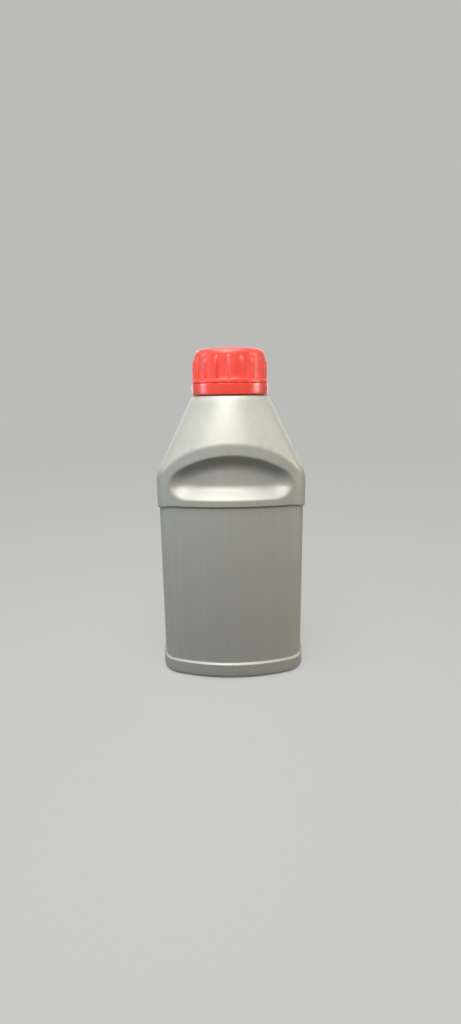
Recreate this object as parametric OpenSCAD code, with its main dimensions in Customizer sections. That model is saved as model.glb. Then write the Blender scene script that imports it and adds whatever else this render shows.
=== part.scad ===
// Hydraulic oil bottle, 500 ml class: a blown oval bottle with a screw cap, its tear-off band and its sealing wad.
// Millimetres. Z is up, the broad faces look along -Y and +Y, and the foot stands on z = 0.

/* [Body in plan] */
// Width across the two narrow sides
body_width = 82.4; // [76:0.1:90]
// Depth from the front face to the back face
body_depth = 57; // [52:0.5:62]
// Radius of the front and back faces
face_radius = 91; // [80:1:120]
// Radius of the narrow sides
side_radius = 90; // [70:1:120]
// Radius of the four upright corners
corner_radius = 13.3; // [11:0.1:16]
// Thickness of the blown wall
wall = 1.2; // [1:0.05:1.6]

/* [Foot and label panel] */
// Height of the plain band round the foot
foot_band = 9.4; // [7:0.1:12]
// Height of the sunk label panel
panel_height = 89.3; // [60:0.1:120]
// How far the label panel lies below the bands
panel_inset = 1; // [0.5:0.05:1.2]
// How far the panel's upper edge dips at the narrow sides
step_dip = 2.3; // [0:0.1:5]
// Rounding of the bottom edge
foot_radius = 3; // [2:0.1:4]
// Width of the flat ring the bottle stands on
foot_ring = 4; // [3:0.1:5]
// Rise of the hollow under the base
push_up = 2.5; // [1:0.1:4]

/* [Shoulder] */
// Height of the arched face above the label panel, at the front
arch_rise = 32.5; // [30:0.1:40]
// How far the arched edge falls from the front to the narrow sides
arch_drop = 17.6; // [14:0.1:20]
// Height from the arched edge to the land under the cap, at the front
shoulder_height = 23.8; // [18:0.1:30]
// Radius of the shoulder where it reaches the land
shoulder_radius = 21; // [20.6:0.1:23]
// Half height of the rounding along the arched edge, at the front
edge_soft_front = 1; // [0.8:0.1:3]
// Half height of the rounding along the arched edge, at the sides
edge_soft_side = 4; // [3:0.1:6]

/* [Grip recess] */
// Height of the recess above the label panel's upper edge
recess_gap = 3.8; // [3:0.1:5]
// Height of the recess at its middle
recess_height = 23; // [20:0.1:24]
// Width of the recess
recess_width = 65; // [54:0.1:66]
// Depth of the recess
recess_depth = 5.5; // [3:0.1:6.5]
// Width of the sloping wall round the recess, before it curves into the floor
recess_cove = 5.4; // [4.5:0.1:7]
// Radius of the recess's upper edge
recess_arch = 52; // [46:0.5:70]

/* [Neck] */
// Outside radius of the neck below the thread's crest
neck_radius = 15.9; // [15.6:0.1:16.1]
// Thickness of the neck
neck_wall = 1.9; // [1.6:0.1:2.2]
// Height of the mouth above the land
neck_height = 21.3; // [21:0.1:22.3]
// Height of the retaining bead's underside above the land
bead_height = 6.3; // [6.1:0.1:6.5]
// How far the retaining bead stands out from the neck
bead_proud = 2; // [1.6:0.1:2.1]

/* [Thread] */
// Rise of the thread in one turn
thread_pitch = 4; // [3.8:0.1:4.4]
// Turns of thread on the neck
thread_turns = 1.75; // [1.25:0.25:1.75]
// How far each thread ridge stands out from its wall
thread_proud = 1.2; // [0.9:0.1:1.3]
// Width of a thread ridge at its root
thread_root = 1.7; // [1.4:0.1:1.8]
// Width of a thread ridge at its crest
thread_crest = 0.8; // [0.6:0.1:1]
// Clearance between neck and cap, along the radius and along the axis
thread_clearance = 0.4; // [0.3:0.05:0.5]

/* [Tear-off band] */
// Clearance between the land and the band
band_clearance = 0.7; // [0.5:0.1:0.9]
// Height of the band
band_height = 5.7; // [5.5:0.1:5.8]
// Outside radius of the band
band_radius = 20.75; // [20.6:0.05:21.2]
// Thickness of the band
band_wall = 1.5; // [1.2:0.1:1.7]
// Height of the slit between the band and the cap
slit_height = 0.3; // [0.2:0.05:0.6]
// Number of bridges across the slit
bridge_count = 24; // [12:1:36]
// Width of a bridge
bridge_width = 1.2; // [0.6:0.1:1.6]

/* [Cap] */
// Thickness of the cap's top
cap_top = 1.5; // [1.3:0.1:2]
// Thickness of the cap's side between the ribs
cap_wall = 1.4; // [1.2:0.1:1.6]
// Height of the plain rim at the foot of the cap
rim_height = 2.2; // [1.8:0.1:2.6]
// Number of grip ribs
rib_count = 18; // [12:1:24]
// Radius of a rib's rounded front
rib_radius = 1.1; // [0.8:0.1:1.3]
// How far the ribs stand out from the cap's side
rib_proud = 1.25; // [0.9:0.05:1.3]
// Height of the sloping top of a rib
rib_slope = 3.6; // [2:0.1:5]
// Rounding of the cap's top edge
cap_rounding = 3; // [2:0.1:3.1]
// Thickness of the sealing wad
wad = 1; // [0.8:0.1:1.3]

/* [Hidden] */
half_w = body_width / 2;
half_d = body_depth / 2;
step_z = foot_band + panel_height;
arch_z = step_z + arch_rise;
land_z = arch_z + shoulder_height;
mouth_z = land_z + neck_height;
low_z = step_z + recess_gap;
recess_z = low_z + recess_height;
bore_radius = neck_radius - neck_wall;
bead_z = land_z + bead_height;
bead_radius = neck_radius + bead_proud;
band_z = land_z + band_clearance;
band_top = band_z + band_height;
cap_z = band_top + slit_height;
ceiling_z = mouth_z + wad;
cap_end = ceiling_z + cap_top;
// The cap's inside clears the crest of the neck's thread, and its own ridge clears the neck.
cap_inside = neck_radius + thread_proud + thread_clearance;
cap_radius = cap_inside + cap_wall;
rim_radius = cap_radius + rib_proud + 0.2;
rim_inside = bead_radius + 0.5;
thread_z = mouth_z - 2.7 - thread_turns * thread_pitch;
// The cap's ridge lies under the neck's ridge, one clearance below it.
ridge_drop = (thread_root + thread_crest) / 2 + thread_clearance;
$fn = 96;

// Plan of the body: three arcs that meet on a tangent, given as [centre x, centre y, radius].
face_arc = [0, half_d - face_radius, face_radius];
side_arc = [half_w - side_radius, 0, side_radius];
reach_f = face_radius - corner_radius;
reach_s = side_radius - corner_radius;
apart = norm([side_arc.x - face_arc.x, side_arc.y - face_arc.y]);
along = (reach_f * reach_f - reach_s * reach_s + apart * apart) / (2 * apart);
across = sqrt(reach_f * reach_f - along * along);
ux = (side_arc.x - face_arc.x) / apart;
uy = (side_arc.y - face_arc.y) / apart;
corner_arc = [face_arc.x + along * ux + across * uy, face_arc.y + along * uy - across * ux, corner_radius];
face_end = asin((corner_arc.x - face_arc.x) / reach_f);
side_end = acos((corner_arc.y - side_arc.y) / reach_s);

// Point of the plan whose outward normal is turned t degrees from the front, moved in by off.
function plan(t, off) =
    let (s = abs(sin(t)), c = abs(cos(t)))
    let (a = s < sin(face_end) ? face_arc : s < sin(side_end) ? corner_arc : side_arc)
    [sign(sin(t)) * (a.x + (a[2] - off) * s), -sign(cos(t)) * (a.y + (a[2] - off) * c)];

// Smaller of two lengths, with the change between them rounded over k.
function blend(a, b, k) =
    let (h = max(k - abs(a - b), 0) / k)
    min(a, b) - h * h * k / 4;

// Height of the arched edge and of the label panel's upper edge at normal t.
function edge_z(t) = arch_z - arch_drop * pow(abs(plan(t, 0).x) / half_w, 2.3);
function dip_z(t) = step_dip * pow(sin(t), 2);

// Point of the body's skin at height z: the straight sides below, the ruled shoulder above.
function skin(t, z, off) =
    let (p = plan(t, off), rho = norm(p), e = edge_z(t))
    let (m = (norm(plan(t, 0)) - shoulder_radius) / (land_z - e))
    let (cone = shoulder_radius + m * (land_z - z) - off * sqrt(1 + m * m))
    let (soft = edge_soft_front + (edge_soft_side - edge_soft_front) * pow(p.x / half_w, 4))
    let (r = blend(rho, cone, m * soft))
    [p.x * r / rho, p.y * r / rho, z];

// Depth of the grip recess at x and z, with its outline grown by g.
function sink(x, z, g) =
    let (over = recess_arch - norm([x, z - recess_z + recess_arch]))
    let (s = g + blend(over, blend(z - low_z, recess_width / 2 - abs(x), 10), 5))
    let (ramp = s < -0.8 ? 0 : s < 0.8 ? pow(s + 0.8, 2) / 3.2 : s)
    recess_depth * blend(ramp / recess_cove, 1, 0.4);

function pressed(p, g) = [p.x, p.y - sign(p.y) * sink(p.x, p.z, g), p.z];

// One quarter of the normals, then the whole ring of them.
quarter = concat(
    [for (i = [0:7]) face_end * i / 8],
    [for (i = [0:4]) face_end + (side_end - face_end) * i / 5],
    [for (i = [0:1]) side_end + (90 - side_end) * i / 2]
);
turned = [for (i = [len(quarter) - 1:-1:1]) quarter[i]];
ring = concat(
    quarter,
    [90],
    [for (t = turned) 180 - t],
    [for (t = quarter) 180 + t],
    [270],
    [for (t = turned) 360 - t]
);
columns = len(ring);

// Rows of the skin from a foot row to the shoulder, off below the outside.
function foot_row(off, z) = [for (t = ring) let (p = plan(t, off)) [p.x, p.y, z]];
function step_row(off, rise) = [for (t = ring) let (p = plan(t, off)) [p.x, p.y, step_z + rise - dip_z(t)]];
function arch_row(a, off, g) =
    [for (t = ring) let (lo = low_z - dip_z(t)) pressed(skin(t, lo + a * (edge_z(t) - lo), off), g)];
function shoulder_row(a, off) = [for (t = ring) skin(t, edge_z(t) + a * (land_z - off - edge_z(t)), off)];
function round_row(r, z) = [for (t = ring) let (p = plan(t, 0)) [p.x * r / norm(p), p.y * r / norm(p), z]];

// Bevel along the panel's edges: share of the inset, and height from the middle of the bevel.
bevel = [[0, -0.7], [0.15, -0.4], [0.85, 0.4], [1, 0.7]];
outside = concat(
    [foot_row(foot_radius + foot_ring + 5, push_up)],
    [foot_row(foot_radius + foot_ring + 2, push_up * 0.6)],
    [foot_row(foot_radius + foot_ring, 0)],
    [for (a = [0:30:90]) foot_row(foot_radius * (1 - sin(a)), foot_radius * (1 - cos(a)))],
    [for (e = bevel) foot_row(panel_inset * e[0], foot_band + e[1])],
    [for (e = bevel) step_row(panel_inset * (1 - e[0]), e[1])],
    [for (a = [-0.05, 0, 0.05, 0.12, 0.22, 0.38, 0.54, 0.62, 0.69, 0.75, 0.8, 0.86, 0.93]) arch_row(a, 0, 0)],
    [for (a = [0, 0.04, 0.1, 0.3, 0.65, 0.97]) shoulder_row(a, 0)],
    [round_row(shoulder_radius - 0.25, land_z - 0.1)],
    [round_row(shoulder_radius - 0.8, land_z)]
);
finish = concat(
    [round_row(neck_radius + 1, land_z + 0.2)],
    [round_row(neck_radius, land_z + 1.2)],
    [round_row(neck_radius, bead_z)],
    [round_row(bead_radius, bead_z)],
    [round_row(bead_radius, bead_z + 0.8)],
    [round_row(neck_radius, bead_z + 2.4)],
    [round_row(neck_radius, mouth_z - 0.6)],
    [round_row(neck_radius - 0.6, mouth_z)],
    [round_row(bore_radius + 0.3, mouth_z)],
    [round_row(bore_radius, mouth_z - 0.3)],
    [round_row(bore_radius, land_z - 1.4)]
);
inside = concat(
    [round_row(shoulder_radius - 2.4, land_z - 1.4)],
    [for (a = [0.88, 0.5, 0.1, 0]) shoulder_row(a, wall)],
    [for (a = [0.9, 0.82, 0.75, 0.65, 0.5, 0.28, 0.14, 0.03]) arch_row(a, wall, wall * 0.4)],
    [step_row(wall, 1.2)],
    [step_row(wall + panel_inset, 0)],
    [foot_row(wall + panel_inset, foot_band + 0.6)],
    [foot_row(wall, foot_band - 1.2)],
    [foot_row(wall, foot_radius + wall)],
    [foot_row(foot_radius * 0.45 + wall, foot_radius * 0.35 + wall)],
    [foot_row(foot_radius + foot_ring + 1, wall)],
    [foot_row(foot_radius + foot_ring + 5, push_up + wall)]
);
rows = concat(outside, finish, inside);
last = len(rows) - 1;

// The blown shell as one closed skin, from the middle of the base up the outside and down the inside.
module shell() {
    points = concat(
        [for (row = rows) each row],
        [[0, 0, push_up], [0, 0, push_up + wall]]
    );
    sides = [
        for (j = [0:last - 1], i = [0:columns - 1])
            let (k = (i + 1) % columns, a = j * columns, b = a + columns)
            each [[a + i, b + i, b + k], [a + i, b + k, a + k]]
    ];
    under = [for (i = [0:columns - 1]) [len(points) - 2, i, (i + 1) % columns]];
    over = [for (i = [0:columns - 1]) [len(points) - 1, last * columns + (i + 1) % columns, last * columns + i]];
    polyhedron(points = points, faces = concat(sides, under, over), convexity = 8);
}

// Polar angles of the skin's columns, counted on from turn to turn.
polar = [for (t = ring) let (p = plan(t, 0), a = atan2(p.y, p.x)) a < -90.001 ? a + 360 : a];
function column_angle(k) = polar[k % columns] + 360 * floor(k / columns);

// Helical ridge through a list of angles, with the middle of its foot at height z for the first of them.
// On a wall of the given radius, side 1 stands outward and side -1 inward.
module ridge(radius, side, z, angles) {
    end = len(angles) - 1;
    bed = radius - side * 0.5;
    points = [
        for (i = [0:end])
            let (lift = min(1, min(i, end - i) / 4), turn = angles[i], y = z + thread_pitch * (turn - angles[0]) / 360)
            let (crest = radius + side * (lift * (thread_proud + 0.1) - 0.1))
            each [
                [bed * cos(turn), bed * sin(turn), y - thread_root / 2],
                [crest * cos(turn), crest * sin(turn), y - thread_crest / 2],
                [crest * cos(turn), crest * sin(turn), y + thread_crest / 2],
                [bed * cos(turn), bed * sin(turn), y + thread_root / 2]
            ]
    ];
    sides = [
        for (i = [0:end - 1], j = [0:3])
            let (a = 4 * i + j, b = 4 * i + (j + 1) % 4)
            each [[a, b, b + 4], [a, b + 4, a + 4]]
    ];
    faces = concat(sides, [[3, 2, 1, 0]], [[for (j = [0:3]) 4 * end + j]]);
    polyhedron(points = points, faces = side > 0 ? faces : [for (f = faces) [for (j = [len(f) - 1:-1:0]) f[j]]]);
}

module bottle() {
    color([0.62, 0.62, 0.59])
        resize([body_width, body_depth, 0])
            union() {
                shell();
                ridge(neck_radius, 1, thread_z, [for (k = [0:round(thread_turns * columns)]) column_angle(k)]);
            }
}

module tamper_band() {
    color([0.85, 0.16, 0.11])
        union() {
            rotate_extrude()
                polygon([
                    [band_radius - band_wall, band_z],
                    [band_radius - 0.3, band_z],
                    [band_radius, band_z + 0.3],
                    [band_radius, band_top - 0.2],
                    [band_radius - 0.2, band_top],
                    [bead_radius + 0.4, band_top],
                    [bead_radius + 0.4, bead_z - 0.3],
                    [bead_radius - 1.3, bead_z - 0.3],
                    [bead_radius - 1.3, bead_z - 1],
                    [band_radius - band_wall, bead_z - 3]
                ]);
            for (i = [0:bridge_count - 1])
                rotate(i * 360 / bridge_count)
                    translate([band_radius - 1.7, -bridge_width / 2, band_top - 0.2])
                        cube([1.2, bridge_width, slit_height + 0.2]);
        }
}

module liner() {
    color([0.93, 0.93, 0.9])
        translate([0, 0, mouth_z])
            cylinder(r = cap_inside - 0.4, h = wad);
}

// Outline of the cap without its ribs, from the axis out.
module cap_section() {
    difference() {
        union() {
            translate([0, cap_z])
                square([cap_radius, cap_end - cap_rounding - cap_z]);
            translate([0, cap_end - cap_rounding])
                square([cap_radius - cap_rounding, cap_rounding]);
            intersection() {
                translate([cap_radius - cap_rounding, cap_end - cap_rounding])
                    circle(r = cap_rounding);
                translate([cap_radius - cap_rounding, cap_end - cap_rounding])
                    square(cap_rounding + 1);
            }
            polygon([
                [0, cap_z],
                [rim_radius, cap_z],
                [rim_radius, cap_z + rim_height - 0.8],
                [rim_radius - 0.4, cap_z + rim_height - 0.2],
                [cap_radius, cap_z + rim_height + 0.4],
                [0, cap_z + rim_height + 0.4]
            ]);
        }
        translate([-1, cap_z - 1])
            square([cap_inside + 1, ceiling_z - cap_z + 1]);
        translate([-1, cap_z - 1])
            square([rim_inside + 1, rim_height + 1]);
    }
}

// Ring that the ribs are cut from, with the slope of their tops.
module rib_ring() {
    out = cap_radius + rib_proud;
    top = cap_end - cap_rounding - 0.4;
    rotate_extrude()
        polygon([
            [cap_radius - 0.6, cap_z + rim_height - 0.4],
            [out, cap_z + rim_height - 0.4],
            [out, top - rib_slope],
            [cap_radius - 0.1, top],
            [cap_radius - 0.6, top]
        ]);
}

module cap() {
    color([0.9, 0.2, 0.14])
        union() {
            rotate_extrude()
                cap_section();
            intersection() {
                rib_ring();
                for (i = [0:rib_count - 1])
                    rotate(270 + i * 360 / rib_count)
                        translate([cap_radius + rib_proud - rib_radius, 0, cap_z])
                            cylinder(r = rib_radius, h = cap_end - cap_z, $fn = 24);
            }
            ridge(cap_inside, -1, thread_z - ridge_drop, [for (a = [-90:10:360 * thread_turns - 180]) a]);
        }
}

bottle();
tamper_band();
liner();
cap();
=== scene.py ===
# Hydraulic oil bottle: a pearl-silver blown bottle with a red screw cap, a tear-off band and a sealing wad.
# Sizes are in millimetres and become metres where a mesh is made. Z is up, and the front looks along -Y.
import math

import bmesh
import bpy
import numpy as np
from mathutils import Matrix


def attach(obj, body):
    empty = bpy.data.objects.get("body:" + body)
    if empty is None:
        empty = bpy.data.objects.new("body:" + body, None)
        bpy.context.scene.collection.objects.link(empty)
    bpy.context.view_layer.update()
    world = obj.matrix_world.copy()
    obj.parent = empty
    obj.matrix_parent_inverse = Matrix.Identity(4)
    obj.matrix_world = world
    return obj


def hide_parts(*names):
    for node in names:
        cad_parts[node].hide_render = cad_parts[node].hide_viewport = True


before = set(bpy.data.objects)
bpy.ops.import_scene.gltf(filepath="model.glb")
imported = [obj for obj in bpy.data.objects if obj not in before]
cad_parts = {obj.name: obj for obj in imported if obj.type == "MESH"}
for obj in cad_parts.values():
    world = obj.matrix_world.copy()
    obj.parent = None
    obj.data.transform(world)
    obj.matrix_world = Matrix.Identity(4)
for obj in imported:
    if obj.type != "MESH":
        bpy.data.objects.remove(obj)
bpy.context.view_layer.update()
scene = bpy.context.scene
scene.view_settings.view_transform = "Standard"

MM = 0.001
SHARP = math.radians(40)  # edges turned further than this are shaded sharp

# Body in plan
HALF_W, HALF_D = 41.2, 28.5
FACE_RADIUS, SIDE_RADIUS, CORNER_RADIUS = 91.0, 90.0, 13.3
WALL = 1.2
# Foot and label panel
FOOT_BAND, PANEL_HEIGHT, PANEL_INSET = 9.4, 89.3, 1.0
STEP_DIP = 2.3  # how far the step above the panel dips at the sides
FOOT_RADIUS, FOOT_RING = 3.0, 4.0
PUSH_UP, PUSH_UP_SLOPE = 2.5, 5.0  # hollow of the base: its height, and the width of its slope
BEVEL_ROUNDING = 0.07
# Pinch-off weld across the hollow of the base, and flash of the mould's parting line up both sides
WELD_PROUD, WELD_SPREAD, WELD_REACH, WELD_FADE = 0.5, 0.5, 24.0, 3.0
FLASH_PROUD, FLASH_SPREAD = 0.1, 0.3
FLASH_START, FLASH_END = 0.6, 0.4  # above the table, and outside the bore at the mouth
# Shoulder, and the edge along its arch
ARCH_RISE, ARCH_DROP, ARCH_POWER = 32.5, 17.6, 2.3
SHOULDER_HEIGHT, SHOULDER_RADIUS, SHOULDER_ROUNDING = 23.8, 21.0, 0.8
EDGE_SOFT_FRONT, EDGE_SOFT_SIDE, EDGE_SOFT_POWER = 1.0, 4.0, 4
# Grip recess: its place above the step, its outline, and how it is sunk
RECESS_GAP, RECESS_HEIGHT, RECESS_WIDTH, RECESS_ARCH = 3.8, 23.0, 65.0, 52.0
RECESS_DEPTH, RECESS_COVE = 5.5, 5.4
RECESS_LEAN = 0.09  # how much deeper its floor gets with height
RECESS_END_ROUNDING, RECESS_TIP_ROUNDING, RECESS_LIP = 10.0, 5.0, 0.6
RECESS_FLOOR_ROUNDING = 0.4  # as a share of its depth
# Neck and thread
NECK_RADIUS, BORE_RADIUS, NECK_HEIGHT, NECK_FILLET = 15.9, 14.0, 21.3, 1.2
COLLAR_HEIGHT = 0.5  # of the low collar on the land, and below the insets and heights along its edge
COLLAR_EDGE = ((1.0, 0.03), (1.15, 0.12), (1.25, 0.28), (1.4, 0.42), (1.7, 0.48))
BEAD_HEIGHT, BEAD_PROUD, BEAD_ROUNDING, BEAD_ROOM = 6.3, 2.0, 0.2, 0.5
MOUTH_ROUNDING, BORE_ROUNDING, MOUTH_BARE = 0.6, 0.3, 1.5
PITCH, TURNS, THREAD_PROUD, THREAD_ROOT, THREAD_CREST = 4.0, 1.75, 1.2, 1.7, 0.8
THREAD_DROP, THREAD_LEAD, THREAD_SOFT, THREAD_STEP = 2.7, 1.2, 0.1, 0.15
THREAD_FADE, THREAD_START = 0.08, -math.pi / 2  # a share of a turn, and the angle of the front
CLEARANCE = 0.4
# Tear-off band
BAND_CLEARANCE, BAND_HEIGHT, BAND_RADIUS, BAND_WALL, SLIT = 0.7, 5.7, 20.75, 1.5, 0.3
BAND_ROUNDING, BAND_GRIP = 0.35, 1.3  # at its foot, and how far its lip reaches in under the bead
LIP = 0.1  # rounding along both sides of the slit
BRIDGES, BRIDGE_WIDTH, BRIDGE_INSET, BRIDGE_ROOT = 24, 1.2, 1.1, 0.2
# Cap and wad
CAP_TOP, CAP_WALL, RIM_HEIGHT, CAP_ROUNDING, WAD = 1.5, 1.4, 2.2, 3.0, 1.0
RIM_PROUD, RIM_ROUNDING, RIM_FILLET, CEILING_FILLET = 0.2, 0.5, 0.35, 0.5
GATE_RADIUS, GATE_DEPTH, CROWN = 1.2, 0.12, 0.02  # gate mark in the top, and the top's fall from its edge
RIBS, RIB_RADIUS, RIB_PROUD, RIB_SLOPE = 18, 1.1, 1.25, 3.6
RIB_SINK, RIB_ROOT, RIB_DROP = 0.05, 0.6, 0.4
RIB_TURN = math.radians(270 - 1.5)  # of the first rib, just off the front
WAD_ROUNDING, WAD_CLEARANCE = 0.2, 0.4

STEP_Z = FOOT_BAND + PANEL_HEIGHT
ARCH_Z = STEP_Z + ARCH_RISE
LAND_Z = ARCH_Z + SHOULDER_HEIGHT
MOUTH_Z = LAND_Z + NECK_HEIGHT
LOW_Z = STEP_Z + RECESS_GAP
RECESS_Z = LOW_Z + RECESS_HEIGHT
BEAD_Z, BEAD_RADIUS = LAND_Z + BEAD_HEIGHT, NECK_RADIUS + BEAD_PROUD
BAND_Z = LAND_Z + BAND_CLEARANCE
BAND_END = BAND_Z + BAND_HEIGHT
CAP_Z = BAND_END + SLIT
RIM_Z = CAP_Z + RIM_HEIGHT
CEILING_Z = MOUTH_Z + WAD
CAP_END = CEILING_Z + CAP_TOP
CAP_INSIDE = NECK_RADIUS + THREAD_PROUD + CLEARANCE
CAP_RADIUS = CAP_INSIDE + CAP_WALL
RIM_RADIUS, RIM_INSIDE = CAP_RADIUS + RIB_PROUD + RIM_PROUD, BEAD_RADIUS + BEAD_ROOM
THREAD_Z = MOUTH_Z - THREAD_DROP - TURNS * PITCH
RIDGE_Z = THREAD_Z - (THREAD_ROOT + THREAD_CREST) / 2 - CLEARANCE
RIDGE_TURNS = TURNS - 0.25

BAND_COLUMNS, CAP_COLUMNS, WAD_COLUMNS, FLOOR_COLUMNS = 180, 216, 96, 96

# Stage: the floor in millimetres, the camera in metres and radians
FLOOR_RADIUS, FLOOR_Z = 9000, -0.1
AIR, SOFT_WHITE, COOL_WHITE, WARM_WHITE = "#F4F4F2", "#FFFDF8", "#CBE0EE", "#FFEFDC"
AIR_LIGHT, AIR_SEEN = 0.06, 0.55  # strength of the air as light on the object, and as the background
PAPER_GLOW = 0.52  # brings the far floor to the background's tone
SENSOR, FOCAL_PIXELS, FRAME_PIXELS = 36.0, 483.3, 1024
CAMERA_AT, CAMERA_PAN, CAMERA_TIP, CAMERA_ROLL = (0, -0.2716, 0.1528), 0.0021, 0.227, -0.013


# Meshes

def piece_from(name, points, faces, material):
    """A new object at the origin from points in millimetres, shaded smooth except at sharp edges."""
    mesh = bpy.data.meshes.new(name)
    mesh.from_pydata((np.asarray(points) * MM).tolist(), [], faces)
    mesh.polygons.foreach_set("use_smooth", [True] * len(mesh.polygons))
    mesh.set_sharp_from_angle(angle=SHARP)
    mesh.materials.append(material)
    piece = bpy.data.objects.new(name, mesh)
    scene.collection.objects.link(piece)
    return piece


def ring_faces(rows, columns):
    """Quads between rows of points, each row a closed ring that runs anticlockwise seen from above."""
    faces = []
    for j in range(rows - 1):
        a, b = j * columns, (j + 1) * columns
        faces += [(a + i, a + (i + 1) % columns, b + (i + 1) % columns, b + i) for i in range(columns)]
    return faces


def block_faces(rows, columns):
    """The same, with one face over each end."""
    last = (rows - 1) * columns
    return ring_faces(rows, columns) + [tuple(range(columns - 1, -1, -1)), tuple(range(last, last + columns))]


def ring_angles(columns):
    return np.arange(columns) * 2 * math.pi / columns


def turned(profile, columns):
    """Rows of points from a profile of [radius, height], turned about Z; a radius may vary by angle."""
    turn = ring_angles(columns)
    return [np.column_stack([r * np.cos(turn), r * np.sin(turn), np.full(columns, z)]) for r, z in profile]


def arc(cx, cz, r, start, end, steps):
    """Points of a small arc in a profile, in degrees from the radius axis."""
    return [(cx + r * math.cos(a), cz + r * math.sin(a)) for a in np.radians(np.linspace(start, end, steps))]


def span(a, b, steps):
    """Points along a straight stretch of a profile, without its ends."""
    shares = [k / (steps + 1) for k in range(1, steps + 1)]
    return [(a[0] + (b[0] - a[0]) * k, a[1] + (b[1] - a[1]) * k) for k in shares]


def blend(a, b, k):
    """Smaller of two lengths, with the change between them rounded over k."""
    h = np.maximum(k - np.abs(a - b), 0) / k
    return np.minimum(a, b) - h * h * k / 4


def thread_height(turn, z, foot_z, turns):
    """How far a helical ridge stands out at an angle and a height; it fades in and out over its ends."""
    reach, slope = THREAD_ROOT / 2 + THREAD_SOFT, (THREAD_ROOT - THREAD_CREST) / 2 + 2 * THREAD_SOFT
    best = np.zeros_like(turn)
    for lap in range(-1, 4):
        along = (turn - THREAD_START) / (2 * math.pi) + lap
        off = np.abs(z - foot_z - PITCH * along)
        flank = np.clip((reach - off) / slope, 0, 1)
        flank = flank * flank * (3 - 2 * flank)
        fade = np.clip(np.minimum(along, turns - along) / THREAD_FADE, 0, 1)
        best = np.maximum(best, THREAD_PROUD * flank * fade)
    return best


# Bottle: each quarter of the plan is three tangent arcs, given as centre and radius

def corner_arc(face, side):
    """The corner's arc, which touches the face's and the side's from inside."""
    reach_f, reach_s = FACE_RADIUS - CORNER_RADIUS, SIDE_RADIUS - CORNER_RADIUS
    apart = math.hypot(side[0] - face[0], side[1] - face[1])
    along = (reach_f ** 2 - reach_s ** 2 + apart ** 2) / (2 * apart)
    across = math.sqrt(reach_f ** 2 - along ** 2)
    ux, uy = (side[0] - face[0]) / apart, (side[1] - face[1]) / apart
    return face[0] + along * ux + across * uy, face[1] + along * uy - across * ux, CORNER_RADIUS


FACE_ARC = (0.0, HALF_D - FACE_RADIUS, FACE_RADIUS)
SIDE_ARC = (HALF_W - SIDE_RADIUS, 0.0, SIDE_RADIUS)
CORNER_ARC = corner_arc(FACE_ARC, SIDE_ARC)
FACE_END = math.degrees(math.asin((CORNER_ARC[0] - FACE_ARC[0]) / (FACE_RADIUS - CORNER_RADIUS)))
SIDE_END = math.degrees(math.acos((CORNER_ARC[1] - SIDE_ARC[1]) / (SIDE_RADIUS - CORNER_RADIUS)))

# The skin's columns, as the directions of their normals; they lie closest at the parting line.
quarter = np.concatenate([
    np.linspace(0, FACE_END, 31)[:-1],
    np.linspace(FACE_END, SIDE_END, 21)[:-1],
    SIDE_END + (90 - SIDE_END) * np.array([0, 0.2, 0.4, 0.58, 0.73, 0.84, 0.915, 0.95, 0.968, 0.984]),
])
RING = np.concatenate([quarter, [90], 180 - quarter[:0:-1], 180 + quarter, [270], 360 - quarter[:0:-1]])
SIN, COS = np.sin(np.radians(RING)), np.cos(np.radians(RING))
COLUMNS = len(RING)
# Rows of the shoulder, as shares of its height; they lie closest where the recess and the edge turn.
ARCH_SHARES = np.concatenate([
    np.linspace(-0.09, 0.3, 30),
    np.linspace(0.33, 0.52, 7),
    np.linspace(0.54, 0.98, 32),
])
SHOULDER_SHARES = np.concatenate([np.linspace(0, 0.14, 18), np.linspace(0.17, 0.96, 12)])


def plan(off=0.0):
    """Points of the plan, moved in by off along their normals."""
    s, c = np.abs(SIN), np.abs(COS)
    face, corner = s < math.sin(math.radians(FACE_END)), s < math.sin(math.radians(SIDE_END))
    cx, cy, r = (np.where(face, f, np.where(corner, k, e)) for f, k, e in zip(FACE_ARC, CORNER_ARC, SIDE_ARC))
    return np.sign(SIN) * (cx + (r - off) * s), -np.sign(COS) * (cy + (r - off) * c)


PLAN_X, PLAN_Y = plan()
PLAN_R = np.hypot(PLAN_X, PLAN_Y)
EDGE_Z = ARCH_Z - ARCH_DROP * (np.abs(PLAN_X) / HALF_W) ** ARCH_POWER
DIP = STEP_DIP * SIN ** 2


def skin(z, off):
    """A row of the body at heights z: straight sides below, the ruled shoulder above."""
    x, y = plan(off)
    rho = np.hypot(x, y)
    slope = (PLAN_R - SHOULDER_RADIUS) / (LAND_Z - EDGE_Z)
    cone = SHOULDER_RADIUS + slope * (LAND_Z - z) - off * np.sqrt(1 + slope ** 2)
    soft = EDGE_SOFT_FRONT + (EDGE_SOFT_SIDE - EDGE_SOFT_FRONT) * (x / HALF_W) ** EDGE_SOFT_POWER
    r = blend(rho, cone, slope * soft)
    return np.column_stack([x * r / rho, y * r / rho, z])


def pressed(row, grow):
    """The row with the grip recess pushed in on both faces, its outline grown by grow."""
    x, y, z = row.T
    over = RECESS_ARCH - np.hypot(x, z - RECESS_Z + RECESS_ARCH)
    foot = blend(z - LOW_Z, RECESS_WIDTH / 2 - np.abs(x), RECESS_END_ROUNDING)
    s = grow + blend(over, foot, RECESS_TIP_ROUNDING)
    lip = RECESS_LIP
    ramp = np.where(s < -lip, 0, np.where(s < lip, (s + lip) ** 2 / (4 * lip), s))
    depth = RECESS_DEPTH + RECESS_LEAN * (z - (LOW_Z + RECESS_Z) / 2)
    sink = depth * blend(ramp / RECESS_COVE, 1.0, RECESS_FLOOR_ROUNDING)
    return np.column_stack([x, y - np.sign(y) * sink, z])


def foot_row(off, z):
    return np.column_stack([*plan(off), np.full(COLUMNS, z)])


def step_row(off, rise):
    return np.column_stack([*plan(off), STEP_Z + rise - DIP])


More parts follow.
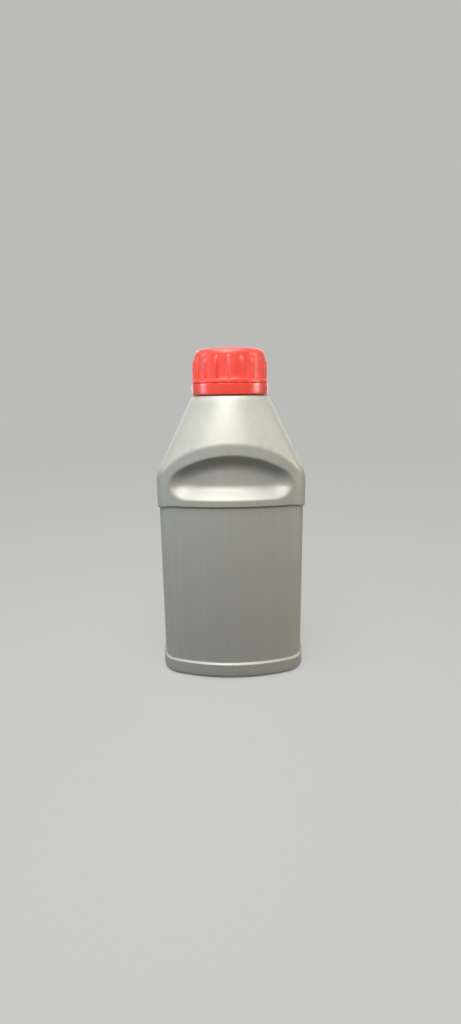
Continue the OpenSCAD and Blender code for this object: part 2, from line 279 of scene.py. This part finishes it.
def arch_row(share, off, grow):
    low = LOW_Z - DIP
    return pressed(skin(low + share * (EDGE_Z - low), off), grow)


def shoulder_row(share, off):
    return skin(EDGE_Z + share * (LAND_Z - off - EDGE_Z), off)


def round_row(r, z):
    return np.column_stack([PLAN_X * r / PLAN_R, PLAN_Y * r / PLAN_R, np.full(COLUMNS, z)])


def bevel():
    """Heights across a 45 degree bevel of 1 mm with small rounded edges, each with its share of the inset."""
    above = np.array([0.25, 0.38, 0.45, 0.5, 0.55, 0.62, 0.75])
    h = np.concatenate([-above[::-1], [0], above])
    inset = (np.hypot(h + 0.5, BEVEL_ROUNDING) - np.hypot(h - 0.5, BEVEL_ROUNDING) + 1) / 2
    return list(zip(h, inset))


def base_rows():
    """The underside, from the middle of its hollow to the ring that it stands on."""
    edge = FOOT_RADIUS + FOOT_RING
    middle = foot_row(edge + PUSH_UP_SLOPE, PUSH_UP)
    rows = [middle * [k, k, 1] for k in (0.25, 0.5, 0.75, 0.92)] + [middle]
    for k in np.linspace(0, 1, 8)[1:]:
        rows.append(foot_row(edge + PUSH_UP_SLOPE * (1 - k), PUSH_UP * (1 - k * k * (3 - 2 * k))))
    for row in rows:
        end = np.clip((WELD_REACH - np.abs(row[:, 0])) / WELD_FADE, 0, 1)
        row[:, 2] -= WELD_PROUD * end * np.exp(-(row[:, 1] / WELD_SPREAD) ** 2)
    return rows + [foot_row(FOOT_RADIUS + FOOT_RING * k, 0) for k in (0.6, 0.2)]


def side_rows():
    """Outside of the body: foot, label panel, arch with the recess, shoulder and the edge of the land."""
    rows = []
    for a in np.radians(np.linspace(0, 90, 10)):
        rows.append(foot_row(FOOT_RADIUS * (1 - math.sin(a)), FOOT_RADIUS * (1 - math.cos(a))))
    # Between the bevels, plain rows only keep the faces short.
    rows.append(foot_row(0, 5.5))
    rows += [foot_row(PANEL_INSET * e, FOOT_BAND + h) for h, e in bevel()]
    rows += [foot_row(PANEL_INSET, z) for z in (14, 40, 65)]
    rows.append(step_row(PANEL_INSET, -6))
    rows += [step_row(PANEL_INSET * (1 - e), h) for h, e in bevel()]
    rows += [arch_row(a, 0, 0) for a in ARCH_SHARES]
    rows += [shoulder_row(a, 0) for a in SHOULDER_SHARES]
    edge = arc(SHOULDER_RADIUS - 0.75, LAND_Z - SHOULDER_ROUNDING, SHOULDER_ROUNDING, 20, 90, 7)
    return rows + [round_row(r, z) for r, z in edge]


def neck_rows():
    """Outside of the neck: a low collar on the land under the band, the bead, the thread and the mouth."""
    profile = [(SHOULDER_RADIUS - inset, LAND_Z + h) for inset, h in COLLAR_EDGE]
    profile += arc(NECK_RADIUS + NECK_FILLET, LAND_Z + COLLAR_HEIGHT + NECK_FILLET, -NECK_FILLET, 90, 0, 7)
    inner = BEAD_RADIUS - BEAD_ROUNDING
    profile += [(NECK_RADIUS, BEAD_Z - 0.02), (NECK_RADIUS + 0.05, BEAD_Z), (inner, BEAD_Z)]
    profile += arc(inner, BEAD_Z + BEAD_ROUNDING, BEAD_ROUNDING, -60, 0, 3)
    profile += [(BEAD_RADIUS, BEAD_Z + 0.7), (BEAD_RADIUS - 0.25, BEAD_Z + 1.05)]
    profile += [(NECK_RADIUS + 0.2, BEAD_Z + 2.2), (NECK_RADIUS, BEAD_Z + 2.5)]
    turn = np.arctan2(PLAN_Y, PLAN_X)
    for z in np.arange(THREAD_Z - THREAD_LEAD, MOUTH_Z - MOUTH_BARE, THREAD_STEP):
        profile.append((NECK_RADIUS + thread_height(turn, z, THREAD_Z, TURNS), z))
    profile += arc(NECK_RADIUS - MOUTH_ROUNDING, MOUTH_Z - MOUTH_ROUNDING, MOUTH_ROUNDING, 0, 90, 6)
    profile += arc(BORE_RADIUS + BORE_ROUNDING, MOUTH_Z - BORE_ROUNDING, BORE_ROUNDING, 90, 180, 4)
    return [round_row(r, z) for r, z in profile]


def inside_rows():
    """The inside, from the bore down to the hollow of the base."""
    rows = [round_row(BORE_RADIUS, z) for z in (MOUTH_Z - 8, MOUTH_Z - 16, LAND_Z - 0.9)]
    rows += [round_row(BORE_RADIUS + 0.5, LAND_Z - 1.4), round_row(SHOULDER_RADIUS - 2.4, LAND_Z - 1.5)]
    rows += [shoulder_row(a, WALL) for a in (0.88, 0.7, 0.5, 0.3, 0.15, 0.08, 0.04, 0)]
    rows += [arch_row(a, WALL, WALL * 0.4) for a in np.linspace(0.97, 0.0, 28)]
    panel, half = WALL + PANEL_INSET, WALL + PANEL_INSET / 2
    rows += [step_row(WALL, 1.2), step_row(half, 0.4), step_row(panel, -0.4)]
    rows += [foot_row(panel, 60), foot_row(panel, FOOT_BAND + 0.6), foot_row(half, FOOT_BAND)]
    rows += [foot_row(WALL, FOOT_BAND - 1.2), foot_row(WALL, FOOT_RADIUS + WALL)]
    for a in np.radians((65, 40, 15)):
        rows.append(foot_row(WALL + FOOT_RADIUS * (1 - math.sin(a)), WALL + FOOT_RADIUS * (1 - math.cos(a))))
    edge = FOOT_RADIUS + FOOT_RING
    return rows + [foot_row(edge + 1, WALL), foot_row(edge + PUSH_UP_SLOPE, PUSH_UP + WALL)]


def make_bottle(material):
    """The whole skin: up the outside, over the mouth and down the inside, with a point in each middle."""
    outside = side_rows() + neck_rows()
    for row in outside:
        if row[0, 2] > FLASH_START and np.hypot(row[0, 0], row[0, 1]) > BORE_RADIUS + FLASH_END:
            row[:, 0] += np.sign(row[:, 0]) * FLASH_PROUD * np.exp(-(row[:, 1] / FLASH_SPREAD) ** 2)
    rows = base_rows() + outside + inside_rows()
    points = np.vstack(rows + [np.array([[0, 0, PUSH_UP - WELD_PROUD], [0, 0, PUSH_UP + WALL]])])
    faces = ring_faces(len(rows), COLUMNS)
    last, low, high = (len(rows) - 1) * COLUMNS, len(points) - 2, len(points) - 1
    faces += [(low, (i + 1) % COLUMNS, i) for i in range(COLUMNS)]
    faces += [(high, last + i, last + (i + 1) % COLUMNS) for i in range(COLUMNS)]
    return piece_from("bottle_shell", points, faces, material)


# Cap, band and wad

def mend(mesh):
    """Merges doubled points, drops what has no area and points every face outward."""
    work = bmesh.new()
    work.from_mesh(mesh)
    bmesh.ops.remove_doubles(work, verts=work.verts, dist=1e-6)
    bmesh.ops.dissolve_degenerate(work, edges=work.edges, dist=1e-7)
    bmesh.ops.recalc_face_normals(work, faces=work.faces)
    work.to_mesh(mesh)
    work.free()
    mesh.set_sharp_from_angle(angle=SHARP)


def turned_piece(name, rows, material):
    """A closed turned form, from rows that end on the axis or where they began."""
    piece = piece_from(name, np.vstack(rows), ring_faces(len(rows), len(rows[0])), material)
    mend(piece.data)
    return piece


def feed(tree, node, inputs):
    """Links or values into a node's own sockets."""
    for name, value in inputs.items():
        if isinstance(value, bpy.types.NodeSocket):
            tree.links.new(value, node.inputs[name])
        else:
            node.inputs[name].default_value = value


def add(tree, kind, inputs=None, **settings):
    """One node with its settings, its values and the links into it."""
    node = tree.nodes.new(kind)
    for name, value in settings.items():
        setattr(node, name, value)
    feed(tree, node, inputs or {})
    return node


def ring_of_copies():
    """Geometry nodes: the object's own mesh, copied evenly round Z."""
    tree = bpy.data.node_groups.new("Ring of copies", "GeometryNodeTree")
    face = tree.interface
    face.new_socket("Geometry", in_out="INPUT", socket_type="NodeSocketGeometry")
    face.new_socket("Count", in_out="INPUT", socket_type="NodeSocketInt")
    face.new_socket("First angle", in_out="INPUT", socket_type="NodeSocketFloat")
    face.new_socket("Material", in_out="INPUT", socket_type="NodeSocketMaterial")
    face.new_socket("Geometry", in_out="OUTPUT", socket_type="NodeSocketGeometry")
    given = add(tree, "NodeGroupInput").outputs
    points = add(tree, "GeometryNodePoints", {"Count": given["Count"], "Position": (0, 0, 0)})
    index = add(tree, "GeometryNodeInputIndex")
    share = add(tree, "ShaderNodeMath", {0: index.outputs[0], 1: given["Count"]}, operation="DIVIDE")
    angle = add(tree, "ShaderNodeMath", {0: share.outputs[0], 1: 2 * math.pi, 2: given["First angle"]},
                operation="MULTIPLY_ADD")
    turn = add(tree, "ShaderNodeCombineXYZ", {"Z": angle.outputs[0]})
    copies = add(tree, "GeometryNodeInstanceOnPoints",
                 {"Points": points.outputs[0], "Instance": given["Geometry"], "Rotation": turn.outputs[0]})
    real = add(tree, "GeometryNodeRealizeInstances", {"Geometry": copies.outputs[0]})
    dyed = add(tree, "GeometryNodeSetMaterial", {"Geometry": real.outputs[0], "Material": given["Material"]})
    add(tree, "NodeGroupOutput", {"Geometry": dyed.outputs[0]})
    return tree


def copied_round(piece, tree, count, first, material):
    """The piece's mesh after the ring of copies, as a plain mesh; the piece itself goes."""
    ring = piece.modifiers.new("ring", "NODES")
    ring.node_group = tree
    ids = {s.name: s.identifier for s in tree.interface.items_tree if s.in_out == "INPUT"}
    ring[ids["Count"]] = count
    ring[ids["First angle"]] = first
    ring[ids["Material"]] = material
    seen = piece.evaluated_get(bpy.context.evaluated_depsgraph_get())
    mesh = bpy.data.meshes.new_from_object(seen)
    piece.modifiers.remove(ring)
    bpy.data.objects.remove(piece)
    return mesh


def join_mesh(piece, extra):
    """Adds another mesh to the piece's own."""
    work = bmesh.new()
    work.from_mesh(piece.data)
    work.from_mesh(extra)
    work.to_mesh(piece.data)
    work.free()


def make_bridge(material):
    """One bridge: a small block with a waist, from the band's top to the cap's rim."""
    middle, half = BAND_RADIUS - BRIDGE_INSET, BRIDGE_WIDTH / 2
    outline = [(-0.6, -half), (0.5, -half), (0.65, -half * 0.6),
               (0.65, half * 0.6), (0.5, half), (-0.6, half)]
    waist = [(BAND_END - BRIDGE_ROOT, 1.25), (BAND_END + 0.08, 1.1), (BAND_END + SLIT * 0.5, 0.8),
             (CAP_Z - 0.08, 0.95), (CAP_Z, 1.0)]
    points = [(middle + x, y * k, z) for z, k in waist for x, y in outline]
    return piece_from("bridge", points, block_faces(len(waist), len(outline)), material)


def make_band(material, tree):
    inner, grip = BAND_RADIUS - BAND_WALL, BEAD_RADIUS - BAND_GRIP
    foot, bore = BAND_RADIUS - BAND_ROUNDING, BEAD_RADIUS + CLEARANCE
    profile = [(inner, BAND_Z + 0.2), (inner + 0.2, BAND_Z), (foot, BAND_Z)]
    profile += arc(foot, BAND_Z + BAND_ROUNDING, BAND_ROUNDING, -75, 0, 6)
    profile += span((BAND_RADIUS, BAND_Z + BAND_ROUNDING), (BAND_RADIUS, BAND_END - LIP), 3)
    profile += arc(BAND_RADIUS - LIP, BAND_END - LIP, LIP, 0, 90, 5)
    profile += [(BEAD_RADIUS + BEAD_ROOM, BAND_END), (bore, BAND_END - 0.1), (bore, BEAD_Z - 0.3)]
    # The lip that grips under the neck's bead, with its lead-in slope.
    profile += arc(grip + 0.2, BEAD_Z - 0.5, 0.2, 90, 180, 4)
    profile += [(grip, BEAD_Z - 0.9), (grip + 0.1, BEAD_Z - 1.05)]
    profile += [(inner - 0.1, BEAD_Z - 2.9), (inner, BEAD_Z - 3.1)]
    band = turned_piece("tear_off_band", turned(profile + profile[:1], BAND_COLUMNS), material)
    join_mesh(band, copied_round(make_bridge(material), tree, BRIDGES, 0.0, material))
    return band


def make_rib(material):
    """One rib: a soft upright swell that fades out into the side at its top."""
    half, end = RIB_RADIUS * 1.2, CAP_END - CAP_ROUNDING - RIB_DROP
    heights = np.concatenate([
        [RIM_Z - 0.5],
        np.linspace(RIM_Z, end - RIB_SLOPE - 0.4, 6),
        np.linspace(end - RIB_SLOPE, end + 0.2, 14),
    ])
    sweep = np.linspace(-1, 1, 17)
    swell = ((1 + np.cos(math.pi * sweep)) / 2) ** 0.8
    root = CAP_RADIUS - RIB_ROOT
    points = []
    for z in heights:
        lift = blend(max(end - z, 0) / RIB_SLOPE, 1.0, 0.25)
        front = CAP_RADIUS - RIB_SINK + (RIB_PROUD + RIB_SINK) * lift * swell
        points += [(r, half * a, z) for r, a in zip(front, sweep)]
        points += [(root, RIB_ROOT, z), (root, -RIB_ROOT, z)]
    return piece_from("rib", points, block_faces(len(heights), len(sweep) + 2), material)


def make_cap(material, tree):
    # Outside: rim, side, rounded top and the mark of the gate in its middle.
    rim, side = RIM_RADIUS - RIM_ROUNDING, (CAP_RADIUS, CAP_END - CAP_ROUNDING)
    profile = [(RIM_INSIDE + 0.15, CAP_Z), (RIM_RADIUS - LIP, CAP_Z)]
    profile += arc(RIM_RADIUS - LIP, CAP_Z + LIP, LIP, -60, 0, 5)
    profile += [(RIM_RADIUS, RIM_Z - 0.9)] + arc(rim, RIM_Z - 0.9, RIM_ROUNDING, 15, 75, 5)
    profile.append((CAP_RADIUS + RIM_FILLET, RIM_Z - 0.12))
    profile += arc(CAP_RADIUS + RIM_FILLET, RIM_Z - 0.12 + RIM_FILLET, -RIM_FILLET, 90, 0, 5)
    profile += span((CAP_RADIUS, RIM_Z + 0.3), side, 6)
    profile += arc(CAP_RADIUS - CAP_ROUNDING, side[1], CAP_ROUNDING, 0, 88, 14)
    profile += [(r, CAP_END - CROWN) for r in (15.5, 12, 8, 4, GATE_RADIUS)]
    profile += [(GATE_RADIUS - 0.3, CAP_END - GATE_DEPTH), (0.0, CAP_END - GATE_DEPTH - 0.02)]
    # Inside: ceiling, wall with the thread's ridge and the wider rim.
    fillet = CAP_INSIDE - CEILING_FILLET
    profile += [(0.0, CEILING_Z), (8, CEILING_Z), (fillet, CEILING_Z)]
    profile += arc(fillet, CEILING_Z - CEILING_FILLET, CEILING_FILLET, 90, 0, 5)
    turn = ring_angles(CAP_COLUMNS)
    for z in np.arange(CEILING_Z - 1.5, RIM_Z + 0.6, -THREAD_STEP):
        profile.append((CAP_INSIDE - thread_height(turn, z, RIDGE_Z, RIDGE_TURNS), z))
    profile += [(CAP_INSIDE, RIM_Z + 0.3), (CAP_INSIDE + 0.3, RIM_Z), (RIM_INSIDE, RIM_Z)]
    profile.append((RIM_INSIDE, CAP_Z + 0.15))
    cap = turned_piece("screw_cap", turned(profile + profile[:1], CAP_COLUMNS), material)
    join_mesh(cap, copied_round(make_rib(material), tree, RIBS, RIB_TURN, material))
    return cap


def make_wad(material):
    edge, top = CAP_INSIDE - WAD_CLEARANCE - WAD_ROUNDING, MOUTH_Z + WAD
    profile = [(0, MOUTH_Z), (10, MOUTH_Z), (edge, MOUTH_Z)]
    profile += arc(edge, MOUTH_Z + WAD_ROUNDING, WAD_ROUNDING, -80, 0, 4)
    profile += arc(edge, top - WAD_ROUNDING, WAD_ROUNDING, 0, 80, 4)
    profile += [(edge, top), (10, top), (0, top)]
    return turned_piece("sealing_wad", turned(profile, WAD_COLUMNS), material)


# Materials

def colour(hex_value):
    """An sRGB hex value as a linear colour."""
    parts = [int(hex_value[i:i + 2], 16) / 255 for i in (1, 3, 5)]
    return [*(p / 12.92 if p <= 0.04045 else ((p + 0.055) / 1.055) ** 2.4 for p in parts), 1.0]


def per(size):
    """The scale at which a pattern repeats about every size millimetres."""
    return 1 / (size * MM)


def new_material(name):
    material = bpy.data.materials.new(name)
    material.use_nodes = True
    tree = material.node_tree
    tree.nodes.clear()
    shader = add(tree, "ShaderNodeBsdfPrincipled")
    add(tree, "ShaderNodeOutputMaterial", {"Surface": shader.outputs[0]})
    place = add(tree, "ShaderNodeTexCoord").outputs["Object"]
    return material, tree, shader, place


def pearl_polyethylene():
    """Blown high-density polyethylene with pearl pigment: a soft silver sheen, faint upright flow streaks
    where the parison was drawn down, fine mica sparkle and a slightly wavy, satin skin."""
    material, tree, shader, place = new_material("Pearl blown polyethylene")
    # Streaks 1.6 mm apart across and 90 mm long.
    drawn = add(tree, "ShaderNodeMapping", {"Vector": place, "Scale": (per(1.6), per(1.6), per(90))})
    streak = add(tree, "ShaderNodeTexNoise",
                 {"Vector": drawn.outputs[0], "Scale": 1.0, "Detail": 3.0, "Roughness": 0.6})
    # Mica flakes are about 0.05 mm: drawn at 0.5 mm, as coarse as it needs to show.
    flake = add(tree, "ShaderNodeTexNoise", {"Vector": place, "Scale": per(0.5), "Detail": 2.0})
    tone = add(tree, "ShaderNodeMix", {0: 0.25, 2: streak.outputs[0], 3: flake.outputs[0]}, data_type="FLOAT")
    ramp = add(tree, "ShaderNodeValToRGB", {0: tone.outputs[0]})
    dark, light = ramp.color_ramp.elements
    dark.position, light.position = 0.32, 0.68
    dark.color, light.color = colour("#9E9F98"), colour("#A5A69F")
    gloss = add(tree, "ShaderNodeMapRange", {"Value": streak.outputs[0], 1: 0.3, 2: 0.7, 3: 0.44, 4: 0.52})
    # Waves 14 mm across under a fine mould grain of 0.8 mm.
    wave = add(tree, "ShaderNodeTexNoise", {"Vector": place, "Scale": per(14), "Detail": 1.0})
    grain = add(tree, "ShaderNodeTexNoise", {"Vector": place, "Scale": per(0.8), "Detail": 2.0})
    swell = add(tree, "ShaderNodeBump", {"Height": wave.outputs[0], "Strength": 0.3, "Distance": 0.12 * MM})
    rough = add(tree, "ShaderNodeBump", {"Height": grain.outputs[0], "Strength": 0.25, "Distance": 0.02 * MM,
                                         "Normal": swell.outputs[0]})
    feed(tree, shader, {"Base Color": ramp.outputs[0], "Roughness": gloss.outputs[0],
                        "Normal": rough.outputs[0], "Metallic": 0.22, "IOR": 1.54})
    return material


def red_polypropylene(name, smoothest, roughest):
    """Injection-moulded polypropylene: a clear warm red, satin or glossy as its steel mould was finished,
    with the faint cloud of the pigment and the fine grain that the mould leaves."""
    material, tree, shader, place = new_material(name)
    # Pigment clouds 5 mm across.
    cloud = add(tree, "ShaderNodeTexNoise", {"Vector": place, "Scale": per(5), "Detail": 3.0})
    ramp = add(tree, "ShaderNodeValToRGB", {0: cloud.outputs[0]})
    dark, light = ramp.color_ramp.elements
    dark.position, light.position = 0.3, 0.7
    dark.color, light.color = colour("#D64236"), colour("#DA463A")
    gloss = add(tree, "ShaderNodeMapRange",
                {"Value": cloud.outputs[0], 1: 0.3, 2: 0.7, 3: smoothest, 4: roughest})
    # Mould grain of 0.6 mm.
    grain = add(tree, "ShaderNodeTexNoise", {"Vector": place, "Scale": per(0.6), "Detail": 2.0})
    rough = add(tree, "ShaderNodeBump", {"Height": grain.outputs[0], "Strength": 0.1, "Distance": 0.02 * MM})
    feed(tree, shader, {"Base Color": ramp.outputs[0], "Roughness": gloss.outputs[0],
                        "Normal": rough.outputs[0], "IOR": 1.49})
    return material


def foamed_polyethylene():
    """Foamed polyethylene wad: soft matt white with small closed cells."""
    material, tree, shader, place = new_material("Foamed polyethylene")
    # Cells 0.6 mm across.
    cell = add(tree, "ShaderNodeTexVoronoi", {"Vector": place, "Scale": per(0.6)}).outputs["Distance"]
    ramp = add(tree, "ShaderNodeValToRGB", {0: cell})
    dark, light = ramp.color_ramp.elements
    dark.color, light.color = colour("#DEDDD6"), colour("#F0EFEA")
    dent = add(tree, "ShaderNodeBump", {"Height": cell, "Strength": 0.4, "Distance": 0.1 * MM})
    feed(tree, shader, {"Base Color": ramp.outputs[0], "Normal": dent.outputs[0],
                        "Roughness": 0.75, "IOR": 1.5})
    return material


def seen_rays(tree):
    """1 for rays that see a surface directly, mirrored or through glass, and 0 for the light it scatters."""
    path = add(tree, "ShaderNodeLightPath").outputs
    seen = path["Is Camera Ray"]
    for other in ("Is Glossy Ray", "Is Transmission Ray"):
        seen = add(tree, "ShaderNodeMath", {0: seen, 1: path[other]}, operation="MAXIMUM").outputs[0]
    return seen


def studio_paper():
    """Pale matt paper under the object: even in tone, with the object's shadow."""
    material, tree, shader, _ = new_material("Studio paper")
    seen = seen_rays(tree)
    tone = add(tree, "ShaderNodeMix", {0: seen, 6: colour("#3A3A39"), 7: colour("#52524F")}, data_type="RGBA")
    glow = add(tree, "ShaderNodeMath", {0: seen, 1: PAPER_GLOW}, operation="MULTIPLY")
    feed(tree, shader, {"Base Color": tone.outputs[2], "Emission Strength": glow.outputs[0],
                        "Emission Color": colour(AIR), "Roughness": 0.9, "Specular IOR Level": 0.1})
    return material


# Stage: a wide round floor, lamps, the pale air and the camera

def make_stage():
    rows = turned([(FLOOR_RADIUS, FLOOR_Z)], FLOOR_COLUMNS)
    floor = piece_from("studio_floor", rows[0], [tuple(range(FLOOR_COLUMNS))], studio_paper())
    return floor


def add_lamp(name, place, aim, size, power, tint):
    """A rectangular lamp at a place, looking at a point, its upper edge level; all in metres."""
    lamp = bpy.data.lights.new(name, "AREA")
    lamp.shape, lamp.size, lamp.size_y = "RECTANGLE", size[0], size[1]
    lamp.energy, lamp.color = power, colour(tint)[:3]
    holder = bpy.data.objects.new(name, lamp)
    back = np.array(place) - np.array(aim)
    z = back / np.linalg.norm(back)
    x = np.cross((0.0, 0.0, 1.0), z)
    x /= np.linalg.norm(x)
    y = np.cross(z, x)
    holder.matrix_world = Matrix([[x[i], y[i], z[i], place[i]] for i in range(3)] + [[0, 0, 0, 1]])
    scene.collection.objects.link(holder)
    return holder


def light_studio(floor):
    """Soft lamps in front and above; dim panels at the sides and behind, which leave the floor even."""
    add_lamp("front_softbox", (-0.035, -0.21, 0.32), (0, 0, 0.13), (0.15, 0.12), 0.74, SOFT_WHITE)
    add_lamp("top_softbox", (-0.035, -0.12, 0.64), (0, 0, 0.10), (0.5, 0.4), 4.4, SOFT_WHITE)
    panels = [
        add_lamp("back_panel", (0.0, 0.90, 0.38), (0, 0, 0.25), (1.2, 0.6), 3.6, SOFT_WHITE),
        add_lamp("left_panel", (-0.80, -0.07, 0.26), (0, 0, 0.20), (0.3, 0.24), 2.1, COOL_WHITE),
        add_lamp("right_panel", (0.80, -0.07, 0.26), (0, 0, 0.20), (0.3, 0.24), 2.75, WARM_WHITE),
    ]
    spared = bpy.data.collections.new("Spared by the panels")
    spared.objects.link(floor)
    spared.collection_objects[0].light_linking.link_state = "EXCLUDE"
    for panel in panels:
        panel.light_linking.receiver_collection = spared
    world = bpy.data.worlds.new("Studio air")
    world.use_nodes = True
    scene.world = world
    tree = world.node_tree
    tree.nodes.clear()
    level = add(tree, "ShaderNodeMapRange", {"Value": seen_rays(tree), 3: AIR_LIGHT, 4: AIR_SEEN})
    air = add(tree, "ShaderNodeBackground", {"Color": colour(AIR), "Strength": level.outputs[0]})
    add(tree, "ShaderNodeOutputWorld", {"Surface": air.outputs[0]})


def set_camera():
    """The photograph's view: close in front, level with the cap's foot and tipped down 13 degrees."""
    data = bpy.data.cameras.new("camera")
    data.sensor_width = SENSOR
    data.lens = FOCAL_PIXELS / FRAME_PIXELS * SENSOR
    data.clip_start = 0.01
    camera = bpy.data.objects.new("camera", data)
    tip = Matrix.Rotation(math.pi / 2 - CAMERA_TIP, 4, "X")
    turn = Matrix.Rotation(CAMERA_PAN, 4, "Z") @ tip @ Matrix.Rotation(CAMERA_ROLL, 4, "Z")
    camera.matrix_world = Matrix.Translation(CAMERA_AT) @ turn
    scene.collection.objects.link(camera)
    scene.camera = camera


set_camera()
light_studio(make_stage())
pearl, foam = pearl_polyethylene(), foamed_polyethylene()
satin_red = red_polypropylene("Red polypropylene, satin mould", 0.36, 0.44)
gloss_red = red_polypropylene("Red polypropylene, polished mould", 0.22, 0.28)
ring_tree = ring_of_copies()
for piece, node, body, slot in (
    (make_bottle(pearl), "bottle", "bottle", "bottle"),
    (make_band(gloss_red, ring_tree), "tamper_band", "bottle", "cap"),
    (make_wad(foam), "liner", "liner", "liner"),
    (make_cap(satin_red, ring_tree), "cap", "cap", "cap"),
):
    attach(piece, body)
    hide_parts(node)
